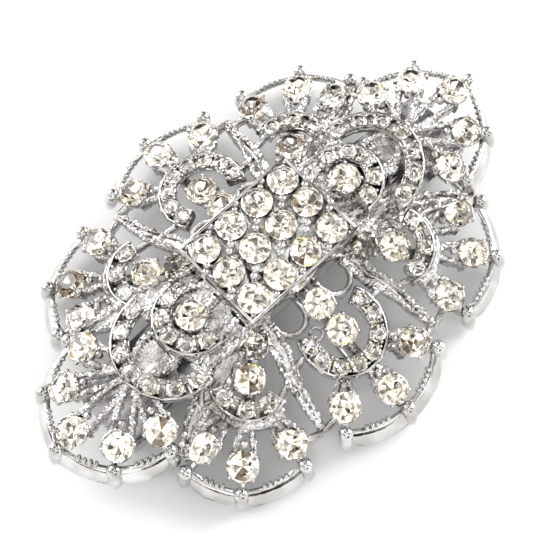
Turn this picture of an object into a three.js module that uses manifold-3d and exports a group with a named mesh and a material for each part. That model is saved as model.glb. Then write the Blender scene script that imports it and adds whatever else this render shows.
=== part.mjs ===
// Rhinestone hair clip: an openwork casting set with chaton stones, on a French barrette.
// Millimetres: +X along the long axis, +Y across, +Z up, origin under the middle at the lowest point.
import * as THREE from 'three';
import Module from 'manifold-3d';

const wasm = await Module();
wasm.setup();

// ---- driving dimensions -------------------------------------------------------------------
const REST = 12.25; // height of the ornament's datum above the surface the clip lies on
const STONE_R = 1.5; // large chaton, girdle radius
const FIT = 0.05; // room round a stone in its seat
const GAP = 0.03; // solder line between two touching pieces
const PITCH = 3.3; // stone pitch in the tile
const TILE_COLS = 4;
const TILE_ROWS = 3;
const TILE_Z = 2.0; // girdle height of the tile's middle row
const TILE_FALL = 0.5; // how far the outer rows sit below the middle row
const BOX_TOP = 1.3;
const BOX_FOOT = -2.4;
const RIB_W = 0.75;
const RIB_H = 0.9;
const BAND_W = 1.9; // scroll and crescent bands that carry the small stones
const BAND_H = 1.1;
const SKIRT_H = 2.0;
const SKIRT_T = 0.6;
const SKIRT_FLARE = 0.35; // outward run of the skirt for each mm it falls
const BALL_R = 0.72;

const PLATE_TOP = -4.2; // top of the barrette's base plate at mid length
const PLATE_T = 0.8;
const PLATE_W = 7.0;
const PLATE_SAG = 2.0 / 441; // fall of the plate for each mm of x squared
const PIN_X = -21;
const PIN_Z = -9.9;
const PIN_R = 0.57;
const RIVET_X = -16.5;
const LEAF_T = 0.35;
const ARM_TOP = -10.6;
const ARM_T = 0.8;
const ARM_W = 5.2;
const LOOP_W = 5.24; // width inside the square loop at the arm's free end

// ---- materials ----------------------------------------------------------------------------
function metal(color, roughness) {
  return new THREE.MeshStandardMaterial({ color, roughness, metalness: 1 });
}
const rhodium = () => metal(0xc9c7c3, 0.14);
const spring = () => metal(0xb9bbbd, 0.24);
const crystal = () => new THREE.MeshStandardMaterial({ color: 0xf3f1ea, roughness: 0.03 });

// ---- solids -------------------------------------------------------------------------------
/** Welds a geometry's vertices, turns its faces outward and makes it a solid. */
function solid(geometry) {
  const pos = geometry.getAttribute('position');
  const index = geometry.getIndex();
  const count = index ? index.count : pos.count;
  const seen = new Map();
  const verts = [];
  const ids = [];
  for (let i = 0; i < count; i += 1) {
    const k = index ? index.getX(i) : i;
    const p = [pos.getX(k), pos.getY(k), pos.getZ(k)];
    const key = p.map((v) => Math.round(v * 2e4)).join(',');
    if (!seen.has(key)) {
      seen.set(key, verts.length / 3);
      verts.push(...p);
    }
    ids.push(seen.get(key));
  }
  const tris = [];
  let volume = 0;
  const at = (i) => new THREE.Vector3(verts[3 * i], verts[3 * i + 1], verts[3 * i + 2]);
  for (let i = 0; i < ids.length; i += 3) {
    const [a, b, c] = [ids[i], ids[i + 1], ids[i + 2]];
    if (a === b || b === c || a === c) continue;
    tris.push(a, b, c);
    volume += at(a).dot(at(b).cross(at(c)));
  }
  if (volume < 0) {
    for (let i = 0; i < tris.length; i += 3) [tris[i], tris[i + 1]] = [tris[i + 1], tris[i]];
  }
  const mesh = new wasm.Mesh({
    numProp: 3,
    vertProperties: new Float32Array(verts),
    triVerts: new Uint32Array(tris),
  });
  return new wasm.Manifold(mesh);
}

const join = (list) => list.reduce((a, b) => a.add(b));
const cut = (body, tools) => tools.reduce((a, b) => a.subtract(b), body);

/** A named mesh from a solid. */
function node(name, body, material) {
  const mesh = body.getMesh();
  const geometry = new THREE.BufferGeometry();
  geometry.setAttribute('position', new THREE.BufferAttribute(new Float32Array(mesh.vertProperties), 3));
  geometry.setIndex(new THREE.BufferAttribute(new Uint32Array(mesh.triVerts), 1));
  geometry.translate(0, 0, REST);
  geometry.computeVertexNormals();
  const out = new THREE.Mesh(geometry, material);
  out.name = name;
  return out;
}

/** Moves every vertex by a function of its position. */
function reshape(geometry, move) {
  const pos = geometry.getAttribute('position');
  const p = new THREE.Vector3();
  for (let i = 0; i < pos.count; i += 1) {
    p.fromBufferAttribute(pos, i);
    move(p);
    pos.setXYZ(i, p.x, p.y, p.z);
  }
  return geometry;
}

const mirrored = (geometry, sx, sy) => geometry.clone().scale(sx, sy, 1);

function turned(points, sides) {
  const g = new THREE.LatheGeometry(points.map(([r, z]) => new THREE.Vector2(r, z)), sides);
  g.rotateX(Math.PI / 2);
  return g;
}

function box(x0, x1, y0, y1, z0, z1) {
  const g = new THREE.BoxGeometry(x1 - x0, y1 - y0, z1 - z0);
  return g.translate((x0 + x1) / 2, (y0 + y1) / 2, (z0 + z1) / 2);
}

/** A plain extrusion of an outline. */
function prism(outline, depth) {
  return new THREE.ExtrudeGeometry(new THREE.Shape(outline), { depth, bevelEnabled: false });
}

/** A flat ribbon of the given width along plan points, from z0 up to z1. */
function ribbon(points, width, z0, z1) {
  const n = points.length;
  const left = [];
  const right = [];
  points.forEach((p, i) => {
    const dir = points[Math.min(i + 1, n - 1)].clone().sub(points[Math.max(i - 1, 0)]).normalize();
    const w = (typeof width === 'function' ? width(i / (n - 1)) : width) / 2;
    left.push(new THREE.Vector2(p.x - dir.y * w, p.y + dir.x * w));
    right.unshift(new THREE.Vector2(p.x + dir.y * w, p.y - dir.x * w));
  });
  return prism([...left, ...right], z1 - z0).translate(0, 0, z0);
}

const vec = (x, y) => new THREE.Vector2(x, y);
const polar = (c, r, deg) => vec(c.x + r * Math.cos(THREE.MathUtils.degToRad(deg)),
  c.y + r * Math.sin(THREE.MathUtils.degToRad(deg)));
const sweep = (a, b, n, f) => Array.from({ length: n + 1 }, (_, i) => f(a + ((b - a) * i) / n));
const arc = (c, r, a, b, n) => sweep(a, b, n, (deg) => polar(c, r, deg));
const curve = (points, n) => new THREE.SplineCurve(points).getPoints(n);

// ---- the ornament's shape: a vault along X, with two tiers of lobes -------------------------
/** Girdle height of a stone at a plan position; tier lifts or drops a whole lobe. */
function vault(x, y, tier = 0) {
  return -0.8 - 0.4 * (Math.hypot(y, 2) - 2) - 0.0045 * x * x + tier;
}

// A lobe's fan is [angle from its axis, radius of the stone, radius of the ball tip] from the hub.
const LOBES = {
  corner: {
    tier: -0.8,
    hub: vec(9.6, 7.35),
    fan: [[-31, 7.6, 10.2], [0, 7.8, 10.1], [40, 6.8, 8.9]],
    axis: 41.7,
    scroll: { r: 3.05, from: -45, to: 45, stones: 3, lift: 0.7 },
    solitaires: [vec(7.1, 5.3)],
    copies: [[1, 1, 'ne'], [-1, 1, 'nw'], [-1, -1, 'sw'], [1, -1, 'se']],
  },
  side: {
    tier: 0,
    hub: vec(0, 9.9),
    fan: [[-41.5, 7.0, 9.2], [0, 7.0, 9.1], [41.5, 7.0, 9.2]],
    axis: 90,
    scroll: { r: 3.55, from: -104, to: 104, stones: 8, lift: 0.15 },
    solitaires: [vec(0, 6.8)],
    copies: [[1, 1, 'n'], [1, -1, 's']],
  },
  end: {
    tier: 0.8,
    hub: vec(17.3, 0),
    fan: [[-73, 5.8, 7.5], [-35, 6.75, 8.75], [0, 7.7, 9.7], [35, 6.75, 8.75], [73, 5.8, 7.5]],
    axis: 0,
    scroll: null,
    solitaires: [vec(9.9, 0)],
    copies: [[1, 1, 'e'], [-1, 1, 'w']],
  },
};

// ---- stones and their seats -----------------------------------------------------------------
const CROWN = 0.62;
const PAVILION = 1.25;
const chaton = () => turned([[0, -PAVILION], [STONE_R, 0.03], [0.85, CROWN], [0, CROWN]], 8);
const seatCone = () => turned([[0, -PAVILION - 0.15], [STONE_R + 0.37, 0.29], [0, 0.29]], 8);
function tileSeat() {
  const r = STONE_R + FIT;
  return turned([[0, -PAVILION - 0.15], [r, -0.02], [r, 0.9], [0, 0.9]], 8);
}
const cup = () => turned([[0, -1.9], [1.76, 0.1], [0, 0.1]], 8);
const setSolid = () => turned([[0, -1.9], [1.7, 0], [0.85, CROWN], [0, CROWN]], 8);

const stoneHeight = (lobe, p, lift = 0) => vault(p.x, p.y, lobe.tier) + lift;

/** Seats of a lobe's fan stones and of its single stones, with their heights. */
function stations(lobe) {
  const at = (p) => [p.x, p.y, stoneHeight(lobe, p)];
  return {
    fan: lobe.fan.map(([a, r]) => at(polar(lobe.hub, r, lobe.axis + a))),
    single: lobe.solitaires.map(at),
  };
}

// ---- the casting ----------------------------------------------------------------------------
/** Drops a flat piece onto the vault: its z is then the height above the stones' girdles. */
function drape(geometry, tier, lift = 0) {
  return reshape(geometry, (p) => {
    p.z += vault(p.x, p.y, tier) + lift;
  });
}

/** A bar between two plan points, below the girdles. */
function rib(a, b, tier, top = -0.5, width = RIB_W) {
  return drape(ribbon([a, b], width, top - RIB_H, top), tier);
}

/** The tapered post under a ball tip, leaning outward as it falls. */
function tipPost(lobe, k) {
  const [a, , r] = lobe.fan[k];
  const foot = polar(lobe.hub, r, lobe.axis + a);
  const out = polar(vec(0, 0), 1, lobe.axis + a);
  const g = turned([[0, -3.4], [0.6, -3.4], [0.5, -1.0], [BALL_R, -0.4], [0, 0.25]], 5);
  reshape(g, (p) => {
    const lean = Math.max(0, -0.8 - p.z) * SKIRT_FLARE;
    p.x += out.x * lean;
    p.y += out.y * lean;
  });
  g.translate(foot.x, foot.y, stoneHeight(lobe, foot));
  return g;
}

/** The flared skirt that runs from the first ball tip of a fan to the last. */
function skirt(lobe) {
  const first = lobe.fan[0];
  const last = lobe.fan[lobe.fan.length - 1];
  const steps = Math.ceil((last[0] - first[0]) / 13);
  const radius = (deg) => {
    const k = Math.max(1, lobe.fan.findIndex(([a]) => a >= deg - 1e-6));
    const [a0, , r0] = lobe.fan[k - 1];
    const [a1, , r1] = lobe.fan[k];
    return r0 + ((r1 - r0) * (deg - a0)) / (a1 - a0);
  };
  const point = (deg) => polar(lobe.hub, radius(deg) - 0.25, lobe.axis + deg);
  const line = sweep(first[0], last[0], steps, point);
  const g = ribbon(line, SKIRT_T, -1.1 - SKIRT_H, -1.1);
  reshape(g, (p) => {
    const lean = (-1.1 - p.z) * SKIRT_FLARE;
    const dir = vec(p.x, p.y).sub(lobe.hub).normalize();
    p.x += dir.x * lean;
    p.y += dir.y * lean;
  });
  return drape(g, lobe.tier);
}

/** A band round a centre that carries a row of small stones. */
function scroll(centre, r, from, to, stones, tier, lift) {
  const reach = ((to - from) / (stones - 1)) * 0.5;
  const line = arc(centre, r, from - reach, to + reach, Math.max(5, stones));
  return drape(ribbon(line, BAND_W, -BAND_H - 0.1 - lift, -0.1), tier, lift);
}

/** Everything a fan has: cups, ribs from the hub, ball tips on posts and the skirt. */
function fan(lobe, ribFrom) {
  const out = [skirt(lobe)];
  lobe.fan.forEach(([a, r, tip], k) => {
    const p = polar(lobe.hub, r, lobe.axis + a);
    out.push(cup().translate(p.x, p.y, stoneHeight(lobe, p)));
    const from = polar(lobe.hub, ribFrom, lobe.axis + a);
    out.push(rib(from, polar(lobe.hub, tip - 0.2, lobe.axis + a), lobe.tier, -1.4));
    out.push(tipPost(lobe, k));
  });
  return out;
}

function cornerLobe() {
  const lobe = LOBES.corner;
  const [first] = lobe.solitaires;
  const s = lobe.scroll;
  const centre = lobe.hub;
  return [
    ...fan(lobe, s.r - 0.3),
    scroll(centre, s.r, lobe.axis + s.from, lobe.axis + s.to, s.stones, lobe.tier, s.lift),
    cup().translate(first.x, first.y, stoneHeight(lobe, first)),
    setSolid().translate(centre.x, centre.y, stoneHeight(lobe, centre)),
    rib(vec(4.6, 3.3), centre, -0.4, -0.9, 1.3),
    rib(centre, polar(centre, s.r, lobe.axis), lobe.tier, -0.9, 1.6),
    drape(ribbon(curve([vec(8.2, 4.4), vec(12.4, 5.5), vec(15.6, 6.4), vec(18.9, 8.1)], 5),
      (t) => 0.7 + 1.0 * Math.sin(Math.PI * t) ** 2, -1.7, -0.5), -0.3),
    drape(ribbon(curve([vec(5.2, 4.3), vec(5.6, 7.4), vec(6.6, 10.4), vec(7.4, 15.0)], 5),
      (t) => 0.7 + 0.5 * Math.sin(Math.PI * t) ** 2, -1.7, -0.5), -0.4),
    rib(vec(7.0, 9.9), polar(centre, 3.2, lobe.axis + 58), -0.6, -0.5),
    rib(vec(14.4, 6.0), polar(centre, 3.2, lobe.axis - 55), -0.6, -0.5),
    rib(vec(7.4, 15.0), vec(4.6, 15.2), -0.4, -0.9),
    rib(vec(7.4, 15.0), vec(10.4, 14.0), -0.6, -0.9),
    rib(vec(18.9, 8.1), vec(19.0, 5.6), 0.2, -1.0),
    rib(vec(18.9, 8.1), vec(16.9, 8.8), -0.4, -1.0),
  ];
}

function sideLobe() {
  const lobe = LOBES.side;
  const [first] = lobe.solitaires;
  const s = lobe.scroll;
  const ring = arc(vec(2.9, 5.6), 1.7, -10, 190, 6);
  return [
    ...fan(lobe, s.r - 0.3),
    scroll(lobe.hub, s.r, lobe.axis + s.from, lobe.axis + s.to, s.stones, lobe.tier, s.lift),
    cup().translate(first.x, first.y, stoneHeight(lobe, first)),
    setSolid().translate(lobe.hub.x, lobe.hub.y, stoneHeight(lobe, lobe.hub)),
    rib(vec(0, 3.4), vec(0, 13.4), 0, -0.9, 1.2),
    ...[1, -1].map((side) => mirrored(drape(ribbon(ring, 0.7, -1.6, -0.6), -0.2), side, 1)),
    ...[1, -1].map((side) => rib(vec(3.4 * side, 9.0), vec(6.3 * side, 9.4), -0.2, -0.7)),
  ];
}

function endLobe() {
  const lobe = LOBES.end;
  const [first] = lobe.solitaires;
  const outer = vec(12.9, 0);
  return [
    ...fan(lobe, 0.2),
    scroll(outer, 4.7, -84, 84, 7, lobe.tier, 0.1),
    scroll(first, 2.9, -80, 80, 5, lobe.tier, 0.45),
    cup().translate(first.x, first.y, stoneHeight(lobe, first)),
    drape(ribbon([vec(7.0, 0), vec(18, 0)], 1.5, -2.9, -1.2), lobe.tier),
    box(5.2, 8.4, -0.75, 0.75, -3.45, BOX_FOOT - GAP),
    ...[1, -1].map((side) => rib(vec(9.9, 2.4 * side), vec(13.3, 4.9 * side), 0.6, -0.7)),
    ...[1, -1].map((side) => rib(vec(13.3, 4.7 * side), vec(14.6, 6.1 * side), 0.2, -0.8)),
    box(13.7, 15.3, -2.4, 2.4, -5.04, -2.3),
  ];
}

/** The plate under the tile, with the two feet that stand on the base plate. */
function foundation() {
  const floor = box(-5.5, 5.5, -4.2, 4.2, -3.5, BOX_FOOT - GAP);
  const foot = (x) => box(x - 0.6, x + 0.6, -2.6, 2.6, PLATE_TOP + GAP, -3.3);
  const feet = [foot(-4.6), foot(4.6)];
  const side = box(-4.6, 4.6, -3.0, 3.0, -3.9, -3.3);
  const window = (x) => solid(box(x - 1.6, x + 1.6, -2.2, 2.2, -4.1, -2));
  const windows = [window(-2.3), window(2.3)];
  return cut(join([solid(floor), solid(side), ...feet.map(solid)]), windows);
}

function casting() {
  const parts = [foundation()];
  const makers = { corner: cornerLobe, side: sideLobe, end: endLobe };
  Object.entries(LOBES).forEach(([kind, lobe]) => {
    const pieces = makers[kind]();
    lobe.copies.forEach(([sx, sy]) => {
      parts.push(join(pieces.map((g) => solid(mirrored(g, sx, sy)))));
    });
  });
  // seats stay open where a neighbour's rib or band would run through them
  const seats = [];
  eachLargeStone((x, y, z) => seats.push(solid(seatCone().translate(x, y, z))));
  return cut(join(parts), seats);
}

/** Calls back for every separate large stone outside the tile. */
function eachLargeStone(call) {
  Object.values(LOBES).forEach((lobe) => {
    const s = stations(lobe);
    lobe.copies.forEach(([sx, sy, where]) => {
      s.fan.forEach(([x, y, z], i) => call(x * sx, y * sy, z, `fan_stone_${where}_${i + 1}`));
      s.single.forEach(([x, y, z]) => call(x * sx, y * sy, z, `stalk_stone_${where}`));
    });
  });
}

// ---- the tile -------------------------------------------------------------------------------
function tileStations() {
  const out = [];
  for (let row = 0; row < TILE_ROWS; row += 1) {
    for (let col = 0; col < TILE_COLS; col += 1) {
      const v = row - (TILE_ROWS - 1) / 2;
      const u = col - (TILE_COLS - 1) / 2;
      out.push([u * PITCH, v * PITCH, TILE_Z - TILE_FALL * v * v, `tile_stone_${row + 1}_${col + 1}`]);
    }
  }
  return out;
}

function tileBox() {
  const hx = (TILE_COLS * PITCH) / 2 + 0.15;
  const hy = (TILE_ROWS * PITCH) / 2 + 0.15;
  const body = join([
    solid(box(-hx, hx, -hy, hy, BOX_FOOT, BOX_TOP)),
    solid(box(0.15 - hx, hx - 0.15, -1.9, 1.9, 0, BOX_TOP + 0.45)),
  ]);
  const hollow = solid(box(0.6 - hx, hx - 0.6, 0.6 - hy, hy - 0.6, BOX_FOOT - 1, -0.35));
  const seats = tileStations().map(([x, y, z]) => solid(tileSeat().translate(x, y, z)));
  return cut(body, [hollow, ...seats]);
}

// ---- the barrette ---------------------------------------------------------------------------
const plateZ = (x) => PLATE_TOP - PLATE_SAG * x * x;

/** A strip bent along X, its top following a height function. */
function strip(x0, x1, width, thick, top, steps = 14) {
  const xs = sweep(x0, x1, steps, (x) => x);
  const upper = xs.map((x) => vec(x, top(x)));
  const lower = xs.map((x) => vec(x, top(x) - thick)).reverse();
  return prism([...upper, ...lower], width).translate(0, 0, -width / 2).rotateX(Math.PI / 2);
}

function rodY(r, y0, y1, x, z, sides = 16) {
  const g = new THREE.CylinderGeometry(r, r, y1 - y0, sides);
  return g.translate(x, (y0 + y1) / 2, z);
}

function rodZ(r, z0, z1, x, y, sides = 12) {
  return turned([[0, z0], [r, z0], [r, z1], [0, z1]], sides).translate(x, y, 0);
}

/** The stretch from a to b on one side of the middle plane, smaller end first. */
function span(side, a, b) {
  return [Math.min(a * side, b * side), Math.max(a * side, b * side)];
}

const pinBore = () => solid(rodY(PIN_R + FIT, -5, 5, PIN_X, PIN_Z));
const rivetHole = () => solid(rodZ(0.75, -9, 0, RIVET_X, 0));

function basePlate() {
  const ear = (side) => join([
    solid(box(PIN_X - 1.3, PIN_X + 1.3, ...span(side, 2.5, 3.2), PIN_Z, -6.3)),
    solid(rodY(1.3, ...span(side, 2.5, 3.2), PIN_X, PIN_Z)),
  ]);
  const plate = solid(strip(-22.3, 23.2, PLATE_W, PLATE_T, plateZ, 16));
  return cut(join([plate, ear(1), ear(-1)]), [pinBore(), rivetHole()]);
}

const leafZ = (x) => -5.45 - (1.2 * x * x) / 342;

function tensionLeaf() {
  return cut(solid(strip(-18.5, 17.5, 4.2, LEAF_T, leafZ)), [rivetHole()]);
}

function leafRivet() {
  const top = plateZ(RIVET_X);
  const under = leafZ(RIVET_X) - LEAF_T;
  return solid(turned([
    [0, under - 0.6],
    [0.8, under - 0.6],
    [1.2, under - 0.2],
    [0.7, under - 0.2],
    [0.7, top + 0.25],
    [1.1, top + 0.25],
    [0.8, top + 0.6],
    [0, top + 0.6],
  ], 12).translate(RIVET_X, 0, 0));
}

function hingePin() {
  const head = (side) => solid(rodY(0.95, ...span(side, 3.3, 3.73), PIN_X, PIN_Z));
  return join([solid(rodY(PIN_R, -3.6, 3.6, PIN_X, PIN_Z)), head(1), head(-1)]);
}

/** The bar that closes under the hair: rolled round the pin, with a square loop at its free end. */
function swingArm() {
  const flat = (x0, x1, half) => solid(box(x0, x1, -half, half, ARM_TOP - ARM_T, ARM_TOP));
  const hole = (x0, x1, half) => solid(box(x0, x1, -half, half, -13, -9));
  const curl = solid(rodY(1.25, -2.2, 2.2, PIN_X, PIN_Z));
  const body = join([curl, flat(PIN_X, 19.4, ARM_W / 2), flat(19, 24, LOOP_W / 2 + 0.7)]);
  const shoulders = [1, -1].map((side) => solid(box(-24, -19.2, ...span(side, 2.2, 4), -13, -9)));
  return cut(body, [pinBore(), hole(-12, 12, 0.9), hole(19.9, 23.1, LOOP_W / 2), ...shoulders]);
}

/** One leg of the clasp: hung from the plate, with a finger wing and a barb under the arm's loop. */
function claspTab(side) {
  const barb = LOOP_W / 2 - 0.1;
  const outline = [
    [1.6, -6.5], [2.2, -6.5], [2.2, -8.3], [4.3, -8.3], [4.3, -10.1], [3.8, -10.1],
    [3.8, -8.9], [2.2, -8.9], [2.2, -11.7], [barb, -11.7], [1.9, -REST], [1.6, -REST],
  ];
  const leg = prism(outline.map(([y, z]) => vec(y, z)), 2);
  leg.rotateX(Math.PI / 2).rotateZ(Math.PI / 2).translate(20.5, 0, 0);
  const under = strip(20, 23, 9, 3, (x) => plateZ(x) - PLATE_T - 2 * GAP + 3, 4);
  return cut(solid(mirrored(leg, 1, side)), [solid(under)]);
}

// ---- assembly -------------------------------------------------------------------------------
const part = new THREE.Group();
part.name = 'rhinestone_hair_clip';
part.add(node('filigree_casting', casting(), rhodium()));
part.add(node('tile_box', tileBox(), rhodium()));
tileStations().forEach(([x, y, z, name]) => {
  part.add(node(name, solid(chaton().translate(x, y, z)), crystal()));
});
eachLargeStone((x, y, z, name) => {
  part.add(node(name, solid(chaton().translate(x, y, z)), crystal()));
});
part.add(node('base_plate', basePlate(), spring()));
part.add(node('tension_leaf', tensionLeaf(), spring()));
part.add(node('leaf_rivet', leafRivet(), spring()));
part.add(node('hinge_pin', hingePin(), spring()));
part.add(node('swing_arm', swingArm(), spring()));
part.add(node('clasp_tab_north', claspTab(1), spring()));
part.add(node('clasp_tab_south', claspTab(-1), spring()));

export default part;
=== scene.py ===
"""Rhinestone hair clip: an openwork plated casting set with foiled crystals, on a French barrette.

Sizes in this script are millimetres in the ornament's own frame: +X along the clip, +Y across,
+Z up, with z = 0 at the datum, REST above the surface the clip lies on.
"""

import math

import bmesh
import bpy
from mathutils import Matrix, Vector, noise


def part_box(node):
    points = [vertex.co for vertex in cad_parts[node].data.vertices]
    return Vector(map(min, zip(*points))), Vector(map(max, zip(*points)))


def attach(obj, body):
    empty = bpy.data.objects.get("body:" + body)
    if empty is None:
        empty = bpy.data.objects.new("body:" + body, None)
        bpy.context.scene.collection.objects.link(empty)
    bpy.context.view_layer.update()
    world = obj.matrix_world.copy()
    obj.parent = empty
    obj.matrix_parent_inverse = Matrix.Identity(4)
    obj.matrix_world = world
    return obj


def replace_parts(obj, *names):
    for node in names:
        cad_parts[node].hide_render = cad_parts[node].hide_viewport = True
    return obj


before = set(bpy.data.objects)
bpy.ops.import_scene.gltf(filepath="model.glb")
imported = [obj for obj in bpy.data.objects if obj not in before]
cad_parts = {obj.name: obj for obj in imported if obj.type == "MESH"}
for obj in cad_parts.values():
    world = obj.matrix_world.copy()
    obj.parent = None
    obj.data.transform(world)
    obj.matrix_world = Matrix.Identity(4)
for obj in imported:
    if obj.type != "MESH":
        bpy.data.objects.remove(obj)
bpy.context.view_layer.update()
noise.seed_set(7)  # noise_vector's offsets otherwise follow the clock

MM = 0.001
REST = 12.25  # height of the datum above the surface that the clip lies on
UP = Vector((0, 0, 1))

# ---- sizes of the casting ------------------------------------------------------------------
LARGE_R = 1.5  # girdle of a large stone
CROWN_H = 0.62  # height of its table above the girdle
SMALL_R = 0.85  # girdle of a small stone
BALL_R = 0.74  # ball at a fan's tip
POST_LEAN = -0.23  # radians that the ball's post leans by
SKIRT_T = 0.8  # thickness, height and outward slope of the skirt
SKIRT_H = 2.2
SKIRT_FLARE = 0.42
TILE_PITCH = 3.3  # from stone to stone in the tile
TILE_X = 6.75  # half sizes and wall of the tile's case
TILE_Y = 5.1
TILE_WALL = 0.32

# a fan is (angle from the lobe's axis, radius of the stone, radius of the ball) from the hub
LOBES = {
    "corner": {
        "tier": -0.8, "hub": (9.6, 7.35), "axis": 41.7,
        "fan": [(-31, 7.6, 10.2), (0, 7.8, 10.1), (40, 6.8, 8.9)],
        "scrolls": [{"centre": (9.6, 7.35), "r": 3.05, "reach": 45, "stones": 3, "lift": 0.7, "wall": 1.2}],
        "copies": {"ne": (1, 1), "nw": (-1, 1), "sw": (-1, -1), "se": (1, -1)},
    },
    "side": {
        "tier": 0.0, "hub": (0, 9.9), "axis": 90,
        "fan": [(-41.5, 7.0, 9.2), (0, 7.0, 9.1), (41.5, 7.0, 9.2)],
        "scrolls": [{"centre": (0, 9.9), "r": 3.55, "reach": 104, "stones": 8, "lift": 0.15, "wall": 0.8}],
        "copies": {"n": (1, 1), "s": (1, -1)},
    },
    "end": {
        "tier": 0.8, "hub": (17.3, 0), "axis": 0,
        "fan": [(-73, 5.8, 7.5), (-35, 6.75, 8.75), (0, 7.7, 9.7), (35, 6.75, 8.75), (73, 5.8, 7.5)],
        "scrolls": [{"centre": (12.9, 0), "r": 4.7, "reach": 84, "stones": 7, "lift": 0.1, "wall": 1.2},
                    {"centre": (9.9, 0), "r": 2.9, "reach": 80, "stones": 5, "lift": 0.45, "wall": 2.0}],
        "copies": {"e": (1, 1), "w": (-1, 1)},
    },
}

# sections of the cast bars, one unit wide and one unit high, hanging from their top edge
ROUND = [(-0.5, -1.0), (0.5, -1.0), (0.5, -0.38), (0.38, -0.12), (0.14, 0.0),
         (-0.14, 0.0), (-0.38, -0.12), (-0.5, -0.38)]
WALL = [(-0.5, -1.0), (0.42, -1.0), (0.5, -0.8), (0.56, -0.5), (0.5, -0.2), (0.3, -0.04), (0.0, 0.0),
        (-0.3, -0.04), (-0.45, -0.16), (-0.5, -0.4)]
TRAY = [(-0.95, -1.05), (0.86, -1.05), (1.0, -0.55), (1.04, -0.16), (0.98, 0.0), (0.88, -0.02),
        (0.83, -0.16), (0.77, -0.16), (0.7, 0.06), (0.58, 0.08), (0.5, -0.12), (0.44, -0.4),
        (-0.55, -0.4), (-0.66, -0.16), (-0.8, -0.1), (-0.95, -0.24)]


# ---- places on the vault --------------------------------------------------------------------
def vault(x, y, tier=0.0):
    """Girdle height of a stone at a plan position."""
    return -0.8 - 0.4 * (math.hypot(y, 2) - 2) - 0.0045 * x * x + tier


def polar(centre, r, degrees):
    """The plan point at a radius and angle from a centre."""
    a = math.radians(degrees)
    return centre[0] + r * math.cos(a), centre[1] + r * math.sin(a)


def arc(centre, r, start, end, steps):
    """Plan points along an arc."""
    return [polar(centre, r, start + (end - start) * i / steps) for i in range(steps + 1)]


def smooth(points, steps):
    """A Catmull-Rom line through plan points, with the given steps between each two."""
    p = [Vector(q) for q in points]
    p = [2 * p[0] - p[1]] + p + [2 * p[-1] - p[-2]]
    line = []
    for i in range(1, len(p) - 2):
        for k in range(steps):
            t = k / steps
            a = 2 * p[i]
            b = (p[i + 1] - p[i - 1]) * t
            c = (2 * p[i - 1] - 5 * p[i] + 4 * p[i + 1] - p[i + 2]) * t * t
            d = (3 * p[i] - p[i - 1] - 3 * p[i + 1] + p[i + 2]) * t ** 3
            line.append((a + b + c + d) / 2)
    return line + [p[-2]]


def seat(x, y, z, lean=0.6, turn=0.0):
    """A frame at a stone's girdle, leaning with the vault."""
    normal = Vector((0.009 * x * lean, 0.4 * y / math.hypot(y, 2) * lean, 1)).normalized()
    return Matrix.Translation((x, y, z)) @ UP.rotation_difference(normal).to_matrix().to_4x4() \
        @ Matrix.Rotation(turn, 4, "Z")


# ---- bmesh helpers --------------------------------------------------------------------------
def tidy(bm):
    """Merges the doubled points of a shape and turns its faces outwards."""
    bmesh.ops.remove_doubles(bm, verts=bm.verts, dist=1e-4)
    bmesh.ops.recalc_face_normals(bm, faces=bm.faces)
    return bm


def soften(bm, angle=0.62):
    """Smooth shading, with the folds kept crisp."""
    for face in bm.faces:
        face.smooth = True
    for edge in bm.edges:
        if len(edge.link_faces) == 2 and edge.calc_face_angle(0) > angle:
            edge.smooth = False


def template(bm):
    """Keeps a small shape as a mesh, to be stamped many times."""
    soften(bm)
    mesh = bpy.data.meshes.new("template")
    bm.to_mesh(mesh)
    bm.free()
    return mesh


def stamp(bm, mesh, matrix):
    """Adds a placed copy of a template."""
    first = len(bm.verts)
    bm.from_mesh(mesh)
    bm.verts.ensure_lookup_table()
    bmesh.ops.transform(bm, matrix=matrix, verts=bm.verts[first:])


def turned(profile, sides):
    """A profile of (radius, height) pairs spun round Z."""
    bm = bmesh.new()
    chain = [bm.verts.new((r, 0, z)) for r, z in profile]
    edges = [bm.edges.new(pair) for pair in zip(chain, chain[1:])]
    bmesh.ops.spin(bm, geom=chain + edges, cent=(0, 0, 0), axis=(0, 0, 1), angle=2 * math.pi,
                   steps=sides, use_merge=True)
    return tidy(bm)


def sweep(bm, outline, frames):
    """Extrudes an outline from frame to frame, closed at both ends."""
    verts = [bm.verts.new((u, v, 0)) for u, v in outline]
    face = bm.faces.new(verts)
    bmesh.ops.transform(bm, matrix=frames[0], verts=verts)
    for last, here in zip(frames, frames[1:]):
        out = bmesh.ops.extrude_face_region(bm, geom=[face])["geom"]
        verts = [g for g in out if isinstance(g, bmesh.types.BMVert)]
        face = next(g for g in out if isinstance(g, bmesh.types.BMFace))
        bmesh.ops.transform(bm, matrix=here @ last.inverted(), verts=verts)


def along(line, height, size):
    """Frames along plan points: X across the line, Y up, at height(x, y), scaled by size(t)."""
    pts = [Vector((p[0], p[1], height(p[0], p[1]))) for p in line]
    frames = []
    for i, p in enumerate(pts):
        ahead = (pts[min(i + 1, len(pts) - 1)] - pts[max(i - 1, 0)]).normalized()
        side = ahead.cross(UP).normalized()
        up = side.cross(ahead)
        w, h = size(i / (len(pts) - 1), p)
        rows = Matrix((side * w, up * h, ahead)).transposed().to_4x4()
        frames.append(Matrix.Translation(p) @ rows)
    return frames


def steady(width, height):
    """A size that stays the same along a bar."""
    return lambda t, p: (width, height)


def lumpy(width, height, amount=0.22, pitch=1.6):
    """A size that swells and pinches along a bar, as hand-cut wax does."""
    def size(t, p):
        swell = 1 + amount * noise.noise(p * pitch) + 0.5 * amount * noise.noise(p * 4.1)
        return width * swell, height * (1 + 0.6 * (swell - 1))
    return size


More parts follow.
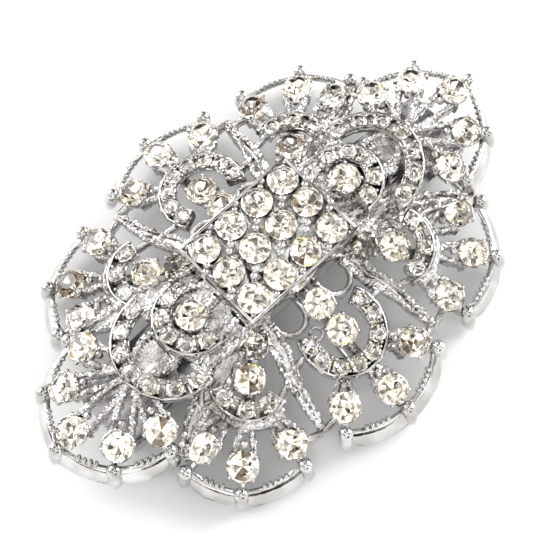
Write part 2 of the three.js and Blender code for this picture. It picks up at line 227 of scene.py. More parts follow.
def bar(bm, a, b, width, height, top, tier, steps=6):
    """A straight cast bar whose crest runs at top above the vault."""
    line = [(a[0] + (b[0] - a[0]) * i / steps, a[1] + (b[1] - a[1]) * i / steps)
            for i in range(steps + 1)]
    sweep(bm, ROUND, along(line, lambda x, y: vault(x, y, tier) + top, lumpy(width, height)))


def slab(bm, x0, x1, y0, y1, z0, z1):
    """A plain block between two corners."""
    cube = bmesh.ops.create_cube(bm, size=1)["verts"]
    bmesh.ops.scale(bm, vec=(x1 - x0, y1 - y0, z1 - z0), verts=cube)
    bmesh.ops.translate(bm, vec=((x0 + x1) / 2, (y0 + y1) / 2, (z0 + z1) / 2), verts=cube)


def roughen(bm, amount, pitch):
    """Small lumps over a cast surface."""
    bm.normal_update()
    for v in bm.verts:
        v.co += v.normal * amount * noise.noise(v.co * pitch)


# ---- finishes -------------------------------------------------------------------------------
def new_group(name, inputs, outputs):
    """An empty node group with the sockets given, and its input and output nodes."""
    group = bpy.data.node_groups.new(name, "ShaderNodeTree")
    for label, kind, value in inputs:
        group.interface.new_socket(label, in_out="INPUT", socket_type=kind).default_value = value
    for label, kind in outputs:
        group.interface.new_socket(label, in_out="OUTPUT", socket_type=kind)
    given = group.nodes.new("NodeGroupInput")
    out = group.nodes.new("NodeGroupOutput")
    return group, given, out


def cast_finish():
    """Slow tone changes, cast lumps and fine grain, for any plated surface."""
    group, given, out = new_group(
        "cast_finish",
        [("Light", "NodeSocketColor", (0.9, 0.9, 0.9, 1)), ("Dark", "NodeSocketColor", (0.5, 0.5, 0.5, 1)),
         ("Smoothest", "NodeSocketFloat", 0.05), ("Roughest", "NodeSocketFloat", 0.2),
         ("Lumps", "NodeSocketFloat", 0.1), ("Grain", "NodeSocketFloat", 0.1)],
        [("Color", "NodeSocketColor"), ("Roughness", "NodeSocketFloat"), ("Normal", "NodeSocketVector")])
    nodes, links = group.nodes, group.links
    where = nodes.new("ShaderNodeTexCoord")

    def cloud(scale, detail, rough=0.5):
        n = nodes.new("ShaderNodeTexNoise")
        n.inputs["Scale"].default_value = scale
        n.inputs["Detail"].default_value = detail
        n.inputs["Roughness"].default_value = rough
        links.new(where.outputs["Object"], n.inputs["Vector"])
        return n.outputs["Fac"]

    def spread(fac, low, high, to_low, to_high):
        m = nodes.new("ShaderNodeMapRange")
        m.interpolation_type = "SMOOTHSTEP"
        m.inputs["From Min"].default_value = low
        m.inputs["From Max"].default_value = high
        links.new(fac, m.inputs["Value"])
        for value, socket in ((to_low, "To Min"), (to_high, "To Max")):
            if isinstance(value, float):
                m.inputs[socket].default_value = value
            else:
                links.new(value, m.inputs[socket])
        return m.outputs["Result"]

    slow = cloud(420, 2)
    tone = nodes.new("ShaderNodeMix")
    tone.data_type = "RGBA"
    links.new(spread(slow, 0.35, 0.68, 1.0, 0.0), tone.inputs["Factor"])
    links.new(given.outputs["Light"], tone.inputs["A"])
    links.new(given.outputs["Dark"], tone.inputs["B"])
    links.new(tone.outputs["Result"], out.inputs["Color"])
    links.new(spread(cloud(1900, 3), 0.38, 0.66, given.outputs["Smoothest"], given.outputs["Roughest"]),
              out.inputs["Roughness"])
    lumps = nodes.new("ShaderNodeBump")
    lumps.inputs["Distance"].default_value = 0.0003
    links.new(given.outputs["Lumps"], lumps.inputs["Strength"])
    links.new(cloud(950, 2), lumps.inputs["Height"])
    grain = nodes.new("ShaderNodeBump")
    grain.inputs["Distance"].default_value = 0.00008
    links.new(given.outputs["Grain"], grain.inputs["Strength"])
    links.new(cloud(5200, 3, 0.6), grain.inputs["Height"])
    links.new(lumps.outputs["Normal"], grain.inputs["Normal"])
    links.new(grain.outputs["Normal"], out.inputs["Normal"])
    return group


CAST_FINISH = cast_finish()


def blank(name):
    """A new material with its nodes, links and shader."""
    material = bpy.data.materials.new(name)
    material.use_nodes = True
    nodes = material.node_tree.nodes
    return material, nodes, material.node_tree.links, nodes["Principled BSDF"]


def plated(name, light, dark, smoothest, roughest, lumps, grain):
    """A bright plated metal: two tones, a span of roughness and the depth of its two bumps."""
    material, nodes, links, shader = blank(name)
    shader.inputs["Metallic"].default_value = 1.0
    finish = nodes.new("ShaderNodeGroup")
    finish.node_tree = CAST_FINISH
    values = {"Light": (*light, 1), "Dark": (*dark, 1), "Smoothest": smoothest, "Roughest": roughest,
              "Lumps": lumps, "Grain": grain}
    for label, value in values.items():
        finish.inputs[label].default_value = value
    links.new(finish.outputs["Color"], shader.inputs["Base Color"])
    links.new(finish.outputs["Roughness"], shader.inputs["Roughness"])
    links.new(finish.outputs["Normal"], shader.inputs["Normal"])
    return material


def crystal_glass():
    """Clear lead glass with a faint warm cast in places."""
    material, nodes, links, shader = blank("crystal_glass")
    shader.inputs["Metallic"].default_value = 0.0
    shader.inputs["Transmission Weight"].default_value = 1.0
    shader.inputs["IOR"].default_value = 1.56
    where = nodes.new("ShaderNodeTexCoord")
    cloud = nodes.new("ShaderNodeTexNoise")
    cloud.inputs["Scale"].default_value = 380
    tint = nodes.new("ShaderNodeValToRGB")
    tint.color_ramp.elements[0].position = 0.35
    tint.color_ramp.elements[0].color = (1.0, 0.975, 0.92, 1)
    tint.color_ramp.elements[1].position = 0.62
    tint.color_ramp.elements[1].color = (1.0, 0.997, 0.985, 1)
    rough = nodes.new("ShaderNodeMapRange")
    rough.inputs["To Min"].default_value = 0.0
    rough.inputs["To Max"].default_value = 0.03
    links.new(where.outputs["Object"], cloud.inputs["Vector"])
    links.new(cloud.outputs["Fac"], tint.inputs["Fac"])
    links.new(tint.outputs["Color"], shader.inputs["Base Color"])
    links.new(cloud.outputs["Fac"], rough.inputs["Value"])
    links.new(rough.outputs["Result"], shader.inputs["Roughness"])
    return material


def crystal_foil():
    """The silvered back, with light painted into its colour: every facet gets its own tone, some a painted
    dark reflection, and a few of them a painted spark of colour.
    """
    material, nodes, links, shader = blank("crystal_foil")
    shader.inputs["Metallic"].default_value = 1.0
    facet = nodes.new("ShaderNodeAttribute")
    facet.attribute_name = "painted_facet_reflection"
    ramp = nodes.new("ShaderNodeValToRGB")
    ramp.color_ramp.interpolation = "CONSTANT"
    # silver foil tones of differing warmth, a painted dark brown reflection (0.6 to 0.665), and painted
    # sparks of yellow, blue and orange fire near the top
    tones = [(0.0, (1.0, 0.975, 0.93)), (0.24, (0.92, 0.86, 0.75)), (0.4, (1.0, 0.985, 0.96)),
             (0.6, (0.2, 0.15, 0.11)), (0.665, (0.96, 0.92, 0.83)), (0.86, (0.98, 0.98, 0.97)),
             (0.93, (1.0, 0.9, 0.35)), (0.95, (0.97, 0.96, 0.95)), (0.97, (0.7, 0.82, 1.0)),
             (0.985, (1.0, 0.62, 0.3))]
    while len(ramp.color_ramp.elements) < len(tones):
        ramp.color_ramp.elements.new(0.5)
    for element, (position, colour) in zip(ramp.color_ramp.elements, tones):
        element.position = position
        element.color = (*colour, 1)
    where = nodes.new("ShaderNodeTexCoord")
    wear = nodes.new("ShaderNodeTexNoise")
    wear.inputs["Scale"].default_value = 2600
    rough = nodes.new("ShaderNodeMapRange")
    rough.inputs["To Min"].default_value = 0.02
    rough.inputs["To Max"].default_value = 0.12
    links.new(facet.outputs["Fac"], ramp.inputs["Fac"])
    links.new(ramp.outputs["Color"], shader.inputs["Base Color"])
    links.new(where.outputs["Object"], wear.inputs["Vector"])
    links.new(wear.outputs["Fac"], rough.inputs["Value"])
    links.new(rough.outputs["Result"], shader.inputs["Roughness"])
    return material


def barrette_steel():
    """Bright nickel on rolled spring steel: fine lines along the strip and a few handling marks."""
    material, nodes, links, shader = blank("barrette_steel")
    shader.inputs["Metallic"].default_value = 1.0
    where = nodes.new("ShaderNodeTexCoord")
    pull = nodes.new("ShaderNodeMapping")
    pull.inputs["Scale"].default_value = (0.03, 1, 1)
    lines = nodes.new("ShaderNodeTexNoise")
    lines.inputs["Scale"].default_value = 9000
    lines.inputs["Detail"].default_value = 4
    patches = nodes.new("ShaderNodeTexNoise")
    patches.inputs["Scale"].default_value = 300
    colour = nodes.new("ShaderNodeValToRGB")
    colour.color_ramp.elements[0].position = 0.3
    colour.color_ramp.elements[0].color = (0.56, 0.56, 0.57, 1)
    colour.color_ramp.elements[1].position = 0.68
    colour.color_ramp.elements[1].color = (0.76, 0.75, 0.735, 1)
    rough = nodes.new("ShaderNodeMapRange")
    rough.inputs["To Min"].default_value = 0.16
    rough.inputs["To Max"].default_value = 0.36
    bump = nodes.new("ShaderNodeBump")
    bump.inputs["Strength"].default_value = 0.25
    bump.inputs["Distance"].default_value = 0.00003
    links.new(where.outputs["Object"], pull.inputs["Vector"])
    links.new(pull.outputs["Vector"], lines.inputs["Vector"])
    links.new(where.outputs["Object"], patches.inputs["Vector"])
    links.new(patches.outputs["Fac"], colour.inputs["Fac"])
    links.new(colour.outputs["Color"], shader.inputs["Base Color"])
    links.new(lines.outputs["Fac"], rough.inputs["Value"])
    links.new(rough.outputs["Result"], shader.inputs["Roughness"])
    links.new(lines.outputs["Fac"], bump.inputs["Height"])
    links.new(bump.outputs["Normal"], shader.inputs["Normal"])
    return material


POLISHED = plated("rhodium_polished", (0.71, 0.705, 0.69), (0.5, 0.49, 0.47), 0.04, 0.13, 0.14, 0.03)
SUGARED = plated("rhodium_sugared", (0.78, 0.77, 0.755), (0.42, 0.405, 0.385), 0.05, 0.17, 0.8, 0.5)
GLASS = crystal_glass()
FOIL = crystal_foil()
STEEL = barrette_steel()


# ---- making a piece -------------------------------------------------------------------------
def piece(name, bm, materials, body="ornament", subdivide=0):
    """Turns a bmesh in millimetres into a finished piece that rides on a body."""
    bmesh.ops.transform(bm, matrix=Matrix.Scale(MM, 4) @ Matrix.Translation((0, 0, REST)), verts=bm.verts)
    mesh = bpy.data.meshes.new(name)
    bm.to_mesh(mesh)
    bm.free()
    for material in materials:
        mesh.materials.append(material)
    obj = bpy.data.objects.new(name, mesh)
    bpy.context.scene.collection.objects.link(obj)
    if subdivide:
        mod = obj.modifiers.new("round", "SUBSURF")
        mod.levels = mod.render_levels = subdivide
    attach(obj, body)
    return obj


def copies(lobe_name, label, bm, materials, subdivide=0):
    """The same cast piece in every lobe of its kind, mirrored into place."""
    base = bpy.data.meshes.new("template")
    bm.to_mesh(base)
    bm.free()
    made = []
    for where, (sx, sy) in LOBES[lobe_name]["copies"].items():
        one = bmesh.new()
        one.from_mesh(base)
        bmesh.ops.transform(one, matrix=Matrix.Diagonal((sx, sy, 1, 1)), verts=one.verts)
        if sx * sy < 0:
            bmesh.ops.reverse_faces(one, faces=one.faces)
        made.append(piece(f"{label}_{where}", one, materials, subdivide=subdivide))
    return made


# ---- crystals -------------------------------------------------------------------------------
def ring(r, z, count, start=0.0):
    """Points spaced evenly round the Z axis."""
    angles = [start + 2 * math.pi * k / count for k in range(count)]
    return [(r * math.cos(a), r * math.sin(a), z) for a in angles]


def chaton(r, number):
    """A foiled chaton: a wide table and a plain crown, with mains and short halves on the pavilion."""
    k = r / LARGE_R
    eighth = math.pi / 8
    points = ring(r, 0.05 * k, 16) + ring(r, -0.02 * k, 16)
    points += ring(0.86 * k, 0.6 * k, 8) + ring(1.26 * k, -0.3 * k, 8, eighth) + [(0, 0, -1.22 * k)]
    bm = bmesh.new()
    verts = [bm.verts.new(p) for p in points]
    bmesh.ops.convex_hull(bm, input=verts)
    bmesh.ops.dissolve_limit(bm, angle_limit=0.02, verts=bm.verts, edges=bm.edges)
    bmesh.ops.recalc_face_normals(bm, faces=bm.faces)
    # a random value per facet picks its painted reflection in the foil's colour: most facets a silver tone,
    # some a painted dark reflection, a few a painted spark of coloured fire
    tone = bm.faces.layers.float.new("painted_facet_reflection")
    for face in bm.faces:
        middle = face.calc_center_median()
        face.material_index = 1 if middle.z < -0.05 * k else 0
        seed = Vector((middle.x * 7.3 + number * 1.7, middle.y * 9.1, middle.z * 5.9 + number))
        chance = noise.cell(seed)
        face[tone] = chance * (0.9 if face.calc_area() > 0.55 * k * k else 1.0)
    return bm


def set_crystal(name, r, matrix, number, node=None):
    """A crystal in its place, instead of the frame's stone where a node is named."""
    bm = chaton(r, number)
    bmesh.ops.transform(bm, matrix=matrix, verts=bm.verts)
    obj = piece(name, bm, (GLASS, FOIL))
    if node:
        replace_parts(obj, node)
    return obj


def collet_template():
    """The thin cup under a large stone, with its burnished lip."""
    outside = [(0.35, -1.75), (0.7, -1.78), (1.2, -1.25), (1.5, -0.6), (1.57, -0.24), (1.56, -0.08)]
    inside = [(1.51, -0.05), (1.44, -0.12), (1.4, -0.24), (0.55, -1.4), (0.3, -1.6), (0.35, -1.75)]
    return template(turned(outside + inside, 24))


def small_collet_template():
    """The cup under a small stone."""
    outside = [(0.3, -1.0), (0.86, -0.42), (0.91, -0.16), (0.88, -0.06)]
    inside = [(0.83, -0.08), (0.78, -0.18), (0.3, -0.8), (0.3, -1.0)]
    return template(turned(outside + inside, 16))


def claw_template(r, size):
    """One grain that laps over a stone's girdle, leaning inwards from radius r along X."""
    bm = bmesh.new()
    bmesh.ops.create_uvsphere(bm, u_segments=8, v_segments=6, radius=size)
    bmesh.ops.scale(bm, vec=(0.92, 1.0, 1.5), verts=bm.verts)
    bmesh.ops.rotate(bm, cent=(0, 0, 0), matrix=Matrix.Rotation(-0.35, 3, "Y"), verts=bm.verts)
    bmesh.ops.translate(bm, vec=(r + size * 0.35, 0, 0.06), verts=bm.verts)
    return template(bm)


def grain_template(size):
    """A smooth round grain."""
    bm = bmesh.new()
    bmesh.ops.create_uvsphere(bm, u_segments=8, v_segments=5, radius=size)
    return template(bm)


def crumb_template(size):
    """A small faceted lump, for the crystalline ridges."""
    bm = bmesh.new()
    bmesh.ops.create_icosphere(bm, subdivisions=1, radius=size)
    mesh = bpy.data.meshes.new("template")
    bm.to_mesh(mesh)
    bm.free()
    return mesh


COLLET = collet_template()
SMALL_COLLET = small_collet_template()
CLAW = claw_template(LARGE_R, 0.24)
SMALL_CLAW = claw_template(SMALL_R, 0.19)
GRAIN = grain_template(0.2)
CRUMB = crumb_template(0.2)


def set_large(bm, place, claws, turn):
    """The cup and the claws of a large stone."""
    stamp(bm, COLLET, place)
    for k in range(claws):
        stamp(bm, CLAW, place @ Matrix.Rotation(turn + 2 * math.pi * k / claws, 4, "Z"))


# ---- the lobes of the casting ---------------------------------------------------------------
def fan_radius(lobe, degrees):
    """Radius of the skirt's line, from ball to ball."""
    fan = lobe["fan"]
    k = next(i for i in range(1, len(fan)) if fan[i][0] >= degrees - 1e-6)
    (a0, _, r0), (a1, _, r1) = fan[k - 1], fan[k]
    return r0 + (r1 - r0) * (degrees - a0) / (a1 - a0)


def skirt(lobe):
    """The polished wall under a fan, bowed out between its balls; the milled bead along its top is made by
    milling.
    """
    bm = bmesh.new()
    hub, axis, tier = lobe["hub"], lobe["axis"], lobe["tier"]
    first, last = lobe["fan"][0][0], lobe["fan"][-1][0]
    steps = round((last - first) / 3.5)
    frames = []
    for i in range(steps + 1):
        a = first + (last - first) * i / steps
        x, y = polar(hub, fan_radius(lobe, max(a, first + 1e-6)) - 0.25, axis + a)
        out = Vector((*polar((0, 0), 1, axis + a), 0))
        down = Vector((out.x * SKIRT_FLARE, out.y * SKIRT_FLARE, -1)).normalized()
        fade = 0.5 + 0.5 * min(1.0, min(i, steps - i) / 2.5)
        rows = Matrix((out * SKIRT_T, -down * SKIRT_H * fade, out.cross(UP))).transposed().to_4x4()
        frames.append(Matrix.Translation((x, y, vault(x, y, tier) - 1.02)) @ rows)
    sweep(bm, WALL, frames)
    tidy(bm)
    return bm


def milling(lobe):
    """The short rows of ridges on the skirt's top edge, half way between the stones."""
    bm = bmesh.new()
    hub, axis, tier = lobe["hub"], lobe["axis"], lobe["tier"]
    angles = [a for a, _, _ in lobe["fan"]]
    for a0, a1 in zip(angles, angles[1:]):
        r = fan_radius(lobe, (a0 + a1) / 2) - 0.35
        step = math.degrees(0.56 / r)
        count = int((a1 - a0) * 0.48 / step)
        for i in range(count):
            a = (a0 + a1) / 2 + (i - (count - 1) / 2) * step
            x, y = polar(hub, fan_radius(lobe, a) - 0.35, axis + a)
            swell = 1 + 0.3 * noise.noise(Vector((x, y, 3)) * 2)
            stamp(bm, GRAIN, Matrix.Translation((x, y, vault(x, y, tier) - 0.98))
                  @ Matrix.Rotation(math.radians(axis + a), 4, "Z")
                  @ Matrix.Rotation(0.35 * swell - 0.35, 4, "Z")
                  @ Matrix.Diagonal((1.9 * swell, 1.4, 1.5 * swell, 1)))
    return bm


def ball_posts(lobe):
    """A ball on a tapered post at each tip of the fan."""
    tail = [(0, -4.0), (0.24, -3.94), (0.46, -3.5), (0.62, -2.8), (0.7, -2.0), (0.68, -1.4), (0.62, -1.12)]
    ball = [(0.67, -0.86), (BALL_R, -0.46), (0.7, -0.12), (0.52, 0.15), (0.27, 0.28), (0, 0.31)]
    post = template(turned(tail + ball, 20))
    bm = bmesh.new()
    for a, _, r in lobe["fan"]:
        x, y = polar(lobe["hub"], r, lobe["axis"] + a)
        out = Vector((*polar((0, 0), 1, lobe["axis"] + a), 0))
        lean = Matrix.Rotation(POST_LEAN, 4, UP.cross(out))
        stamp(bm, post, Matrix.Translation((x, y, vault(x, y, lobe["tier"]))) @ lean)
    return bm


def sugar(bm, line, height, spread, size=1.0):
    """Crystalline crumbs along the crest of a bar."""
    for i, p in enumerate(line):
        for k in (0, 1):
            seed = Vector((p[0] * 3.1, p[1] * 3.7, k * 5.3))
            jog = noise.noise_vector(seed) * spread
            grow = size * (0.95 + 0.6 * noise.noise(seed * 2.3))
            at = Vector((p[0] + jog.x, p[1] + jog.y, height(p[0], p[1]) - 0.06 + 0.1 * jog.z))
            stamp(bm, CRUMB, Matrix.Translation(at) @ Matrix.Rotation(jog.z * 9, 4, seed.normalized())
                  @ Matrix.Diagonal((grow * 1.3, grow, grow * 0.8, 1)))


def fan_ribs(lobe, start):
    """Each fan stone hangs on a narrow leaf of two bars that part and meet again at its cup."""
    bm = bmesh.new()
    hub, axis, tier = lobe["hub"], lobe["axis"], lobe["tier"]
    for a, r, tip in lobe["fan"]:
        out = Vector(polar((0, 0), 1, axis + a))
        side = Vector((-out.y, out.x))
        for s in (-1, 1):
            pts = [Vector(hub) + out * q + side * s * w for q, w in
                   ((start, 0.3), (start + 0.4 * (r - start), 0.72), (r - 1.5, 0.9), (r - 0.7, 1.28))]
            line = smooth(pts, 9)
            height = lambda x, y: vault(x, y, tier) - 0.42
            sweep(bm, ROUND, along(line, height, lumpy(0.62, 1.2, 0.45, 2.6)))
            sugar(bm, line[2:-3], height, 0.3, 1.15)
        stem = Vector(hub) + out * (r - 2.0)
        stamp(bm, GRAIN, Matrix.Translation((stem.x, stem.y, vault(stem.x, stem.y, tier) - 0.1))
              @ Matrix.Scale(2.1, 4))
        a0, a1 = Vector(hub) + out * (r + 0.9), Vector(hub) + out * (tip - 0.2)
        bar(bm, a0, a1, 0.7, 1.0, -0.9, tier, steps=3)
    return bm


def tray(bm, scroll, axis, tier):
    """A crescent shelf with a double rim on its outer side, on a wall of its own."""
    gap = 2 * scroll["reach"] / (scroll["stones"] - 1)
    reach = scroll["reach"] + gap * 0.45
    steps = max(12, round(reach * 2 / 7))
    line = arc(scroll["centre"], scroll["r"], axis + reach, axis - reach, steps)
    lift = scroll["lift"]
    sweep(bm, TRAY, along(line, lambda x, y: vault(x, y, tier) + lift, steady(1.0, 1.0)))
    wall = arc(scroll["centre"], scroll["r"] + 0.42, axis + reach - 3, axis - reach + 3, steps)
    sweep(bm, WALL, along(wall, lambda x, y: vault(x, y, tier) + lift - 0.85, steady(0.5, scroll["wall"])))


def bowl(lobe):
    """The crystalline band that swells out under a corner lobe's crescent."""
    bm = bmesh.new()
    scroll = lobe["scrolls"][0]
    height = lambda x, y: vault(x, y, lobe["tier"]) + scroll["lift"] - 0.62
    reach = scroll["reach"] + 8
    line = arc(scroll["centre"], scroll["r"] + 1.0, lobe["axis"] + reach, lobe["axis"] - reach, 16)
    sweep(bm, ROUND, along(line, height, lumpy(0.95, 1.2, 0.4, 2.2)))
    sugar(bm, line, height, 0.35, 1.2)
    for k in (-1, 0, 1):
        x, y = polar(scroll["centre"], scroll["r"] + 1.5, lobe["axis"] + k * scroll["reach"] * 0.8)
        stamp(bm, GRAIN, Matrix.Translation((x, y, height(x, y) - 0.25)) @ Matrix.Scale(1.7, 4))
    return bm


def scroll_places(lobe, scroll):
    """The place and bearing of every small stone on a scroll."""
    n = scroll["stones"]
    for i in range(n):
        a = lobe["axis"] - scroll["reach"] + 2 * scroll["reach"] * i / (n - 1)
        x, y = polar(scroll["centre"], scroll["r"] - 0.12, a)
        yield x, y, vault(x, y, lobe["tier"]) + scroll["lift"], math.radians(a)


def set_small(bm, lobe):
    """The cups and claws of a lobe's small stones."""
    for scroll in lobe["scrolls"]:
        for x, y, z, a in scroll_places(lobe, scroll):
            place = seat(x, y, z, 0.8)
            stamp(bm, SMALL_COLLET, place)
            for turn in (a + 1.15, a - 1.15, a + 2.5, a - 2.5):
                stamp(bm, SMALL_CLAW, place @ Matrix.Rotation(turn, 4, "Z"))


def leaf(bm, points, tier, width):
    """A broad pointed strut: two crystalline ridges with a smooth trough between them."""
    line = smooth(points, 8)
    height = lambda x, y: vault(x, y, tier) - 0.5
    shape = lambda t: width * (0.2 + 0.8 * math.sin(math.pi * min(1.0, 0.18 + 0.82 * t) ** 0.75))
    frames = along(line, height, lambda t, p: (shape(t), 1.0))
    sweep(bm, [(-0.5, -1.1), (0.5, -1.1), (0.5, -0.3), (0.2, -0.48), (-0.2, -0.48), (-0.5, -0.3)], frames)
    for s in (-1, 1):
        edge = []
        for p, f in zip(line, frames):
            w = f.col[0].xyz * 0.42 * s
            edge.append((p[0] + w.x, p[1] + w.y))
        crest = lambda x, y: vault(x, y, tier) - 0.34
        sweep(bm, ROUND, along(edge, crest, lumpy(0.5, 0.95, 0.4, 2.6)))
        sugar(bm, edge[:-1], crest, 0.3, 1.35)


def finish_cast(bm, rough=0.05, pitch=2.2):
    """Gives bars and bands their uneven cast skin."""
    tidy(bm)
    roughen(bm, rough, pitch)
    soften(bm, 0.75)
    return bm


def lobe_pieces(kind):
    """Every cast piece of one kind of lobe."""
    lobe = LOBES[kind]
    start = {"corner": 3.7, "side": 4.2, "end": 0.4}[kind]
    wall = skirt(lobe)
    soften(wall)
    casting = copies(kind, "skirt", wall, (POLISHED,))
    casting += copies(kind, "skirt_milling", milling(lobe), (POLISHED,))
    casting += copies(kind, "ball_posts", ball_posts(lobe), (POLISHED,))
    casting += copies(kind, "fan_ribs", finish_cast(fan_ribs(lobe, start)), (SUGARED,))
    bands = bmesh.new()
    for scroll in lobe["scrolls"]:
        tray(bands, scroll, lobe["axis"], lobe["tier"])
    casting += copies(kind, "scrolls", finish_cast(bands, 0.03, 1.8), (POLISHED,))
    if kind == "corner":
        casting += copies(kind, "crescent_bowl", finish_cast(bowl(lobe)), (SUGARED,))
    small = bmesh.new()
    set_small(small, lobe)
    casting += copies(kind, "small_settings", small, (POLISHED,))
    return casting


def corner_struts():
    """The leaves and bars that tie a corner lobe to the tile and its neighbours."""
    lobe = LOBES["corner"]
    hub, axis, tier = lobe["hub"], lobe["axis"], lobe["tier"]
    bm = bmesh.new()
    leaf(bm, [(8.2, 4.4), (12.4, 5.5), (15.6, 6.4), (18.9, 8.1)], -0.3, 2.3)
    leaf(bm, [(5.2, 4.3), (5.6, 7.4), (6.6, 10.4), (7.4, 15.0)], -0.4, 1.6)
    bar(bm, (4.6, 3.3), hub, 1.2, 1.1, -1.4, tier, steps=8)
    bar(bm, hub, polar(hub, 3.6, axis), 1.4, 0.9, -1.4, tier, steps=6)
    bar(bm, (7.0, 9.9), polar(hub, 3.2, axis + 58), 0.6, 0.9, -0.5, -0.6)
    bar(bm, (14.4, 6.0), polar(hub, 3.2, axis - 55), 0.6, 0.9, -0.5, -0.6)
    bar(bm, (7.4, 15.0), (4.6, 15.2), 0.7, 1.0, -0.9, -0.4)
    bar(bm, (7.4, 15.0), (10.4, 14.0), 0.7, 0.9, -1.4, tier)
    bar(bm, (18.9, 8.1), (19.0, 5.6), 0.7, 1.0, -1.0, 0.2)
    bar(bm, (18.9, 8.1), (16.9, 8.8), 0.7, 0.9, -1.4, tier)
    return copies("corner", "leaf_struts", finish_cast(bm, 0.08, 2.8), (SUGARED,))


def side_struts():
    """The arches at the tile's long sides."""
    bm = bmesh.new()
    bar(bm, (0, 3.4), (0, 13.6), 1.1, 1.0, -1.4, 0, steps=14)
    for s in (1, -1):
        loop = arc((2.9 * s, 5.6), 1.7, 90 - 105 * s, 90 + 105 * s, 14)
        sweep(bm, ROUND, along(loop, lambda x, y: vault(x, y, -0.2) - 0.5, lumpy(0.62, 1.0)))
        bar(bm, (3.4 * s, 9.0), (6.3 * s, 9.4), 0.65, 0.95, -0.7, -0.2)
    return copies("side", "arch_struts", finish_cast(bm), (SUGARED,))


def hub_eye():
    """The small open ring and the loose bead beside one side hub, left over from the wax model."""
    bm = bmesh.new()
    ring_line = arc((-2.05, -8.55), 0.62, 0, 350, 16)
    sweep(bm, ROUND, along(ring_line, lambda x, y: vault(x, y) - 0.3, lumpy(0.3, 0.6)))
    stamp(bm, GRAIN, Matrix.Translation((-1.3, -12.35, vault(-1.3, -12.35) - 0.15)) @ Matrix.Scale(2.2, 4))
    bar(bm, (-1.3, -12.35), (-1.2, -10.6), 0.4, 0.6, -0.45, 0, steps=3)
    return piece("hub_eye", finish_cast(bm), (POLISHED,))


def end_struts():
    """The leaves and bars inside the two end lobes."""
    bm = bmesh.new()
    bar(bm, (6.9, 0), (12.9, 0), 1.3, 1.5, -1.4, 0.8, steps=7)
    bar(bm, (16.9, 0), (18.4, 0), 1.3, 1.3, -1.2, 0.8, steps=3)
    leaf(bm, [(13.0, 0), (14.6, 0), (16.0, 0), (17.4, 0)], 0.35, 4.4)
    for s in (1, -1):
        leaf(bm, [(6.9, 0.5 * s), (8.2, 1.5 * s), (9.6, 2.0 * s), (11.6, 1.5 * s)], 0.1, 2.4)
        leaf(bm, [(6.9, 3.4 * s), (8.6, 3.6 * s), (10.4, 3.6 * s), (13.0, 3.4 * s)], 0.1, 1.8)
    for s in (1, -1):
        bar(bm, (9.9, 2.4 * s), (13.3, 4.9 * s), 0.65, 0.95, -0.7, 0.6)
        bar(bm, (13.3, 4.7 * s), (14.6, 6.1 * s), 0.65, 0.95, -0.8, 0.2)
    return copies("end", "arch_struts", finish_cast(bm), (SUGARED,))


def foundation():
    """The plate under the tile, its feet, and the saddles that reach the barrette at both ends."""
    bm = bmesh.new()
    slab(bm, -5.5, 5.5, -4.2, 4.2, -3.5, -2.43)
    slab(bm, -5.2, -4.0, -2.6, 2.6, -4.17, -3.3)
    slab(bm, 4.0, 5.2, -2.6, 2.6, -4.17, -3.3)
    slab(bm, 5.2, 8.4, -0.75, 0.75, -3.45, -2.43)
    slab(bm, -8.4, -5.2, -0.75, 0.75, -3.45, -2.43)
    for x0, x1 in ((14.0, 15.0), (-15.0, -14.0)):
        slab(bm, x0, x1, -2.3, 2.3, -5.04, -4.5)
    for x0, x1 in ((14.0, 15.1), (-15.1, -14.0)):
        for y in (-2.2, 1.65):
            slab(bm, x0, x1, y, y + 0.55, -4.6, -2.5)
    bmesh.ops.bevel(bm, geom=bm.edges, offset=0.15, offset_type="OFFSET", affect="EDGES", segments=2,
                    profile=0.5, material=-1)
    soften(bm)
    return piece("foundation", bm, (SUGARED,))


# ---- the tile -------------------------------------------------------------------------------
def tile_case():
    """The case: four smooth walls round a sunk floor."""
    bm = bmesh.new()
    foot, top = -2.4, 1.5
    in_x, in_y = TILE_X - TILE_WALL, TILE_Y - TILE_WALL
    slab(bm, -TILE_X, TILE_X, -TILE_Y, -in_y, foot, top)
    slab(bm, -TILE_X, TILE_X, in_y, TILE_Y, foot, top)
    slab(bm, -TILE_X, -in_x, -in_y, in_y, foot, top)
    slab(bm, in_x, TILE_X, -in_y, in_y, foot, top)
    slab(bm, -in_x, in_x, -in_y, in_y, -0.3, 0.3)
    bmesh.ops.bevel(bm, geom=bm.edges, offset=0.08, offset_type="OFFSET", affect="EDGES", segments=2,
                    profile=0.5, material=-1)
    soften(bm)
    obj = piece("tile_case", bm, (POLISHED,))
    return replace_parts(obj, "tile_box")


def tile_grains():
    """The pairs of grains that hold the stones, on posts between them."""
    bm = bmesh.new()
    post = template(turned([(0, -1.6), (0.24, -1.6), (0.25, -0.25), (0.34, -0.05), (0.33, 0.12),
                            (0.18, 0.28), (0, 0.32)], 10))
    for i in range(5):
        for j in range(4):
            x, y = (i - 2) * TILE_PITCH, (j - 1.5) * TILE_PITCH
            x, y = max(-6.25, min(6.25, x)), max(-4.6, min(4.6, y))
            z = 2.02 - 0.5 * (y / TILE_PITCH) ** 2
            for s in (-1, 1):
                stamp(bm, post, Matrix.Translation((x + 0.27 * s, y + 0.2 * s, z)))
    return piece("tile_grains", bm, (POLISHED,))


def tile_collets():
    """The round seats that stand on the case's floor."""
    bm = bmesh.new()
    lip = template(turned([(1.52, -2.0), (1.55, -0.2), (1.53, -0.07), (1.47, -0.1), (1.42, -0.2),
                           (0.5, -1.38), (0.5, -2.0), (1.52, -2.0)], 24))
    for row in range(3):
        for col in range(4):
            x, y = (col - 1.5) * TILE_PITCH, (row - 1) * TILE_PITCH
            stamp(bm, lip, Matrix.Translation((x, y, 2.0 - 0.5 * (row - 1) ** 2)))
    return piece("tile_collets", bm, (POLISHED,))


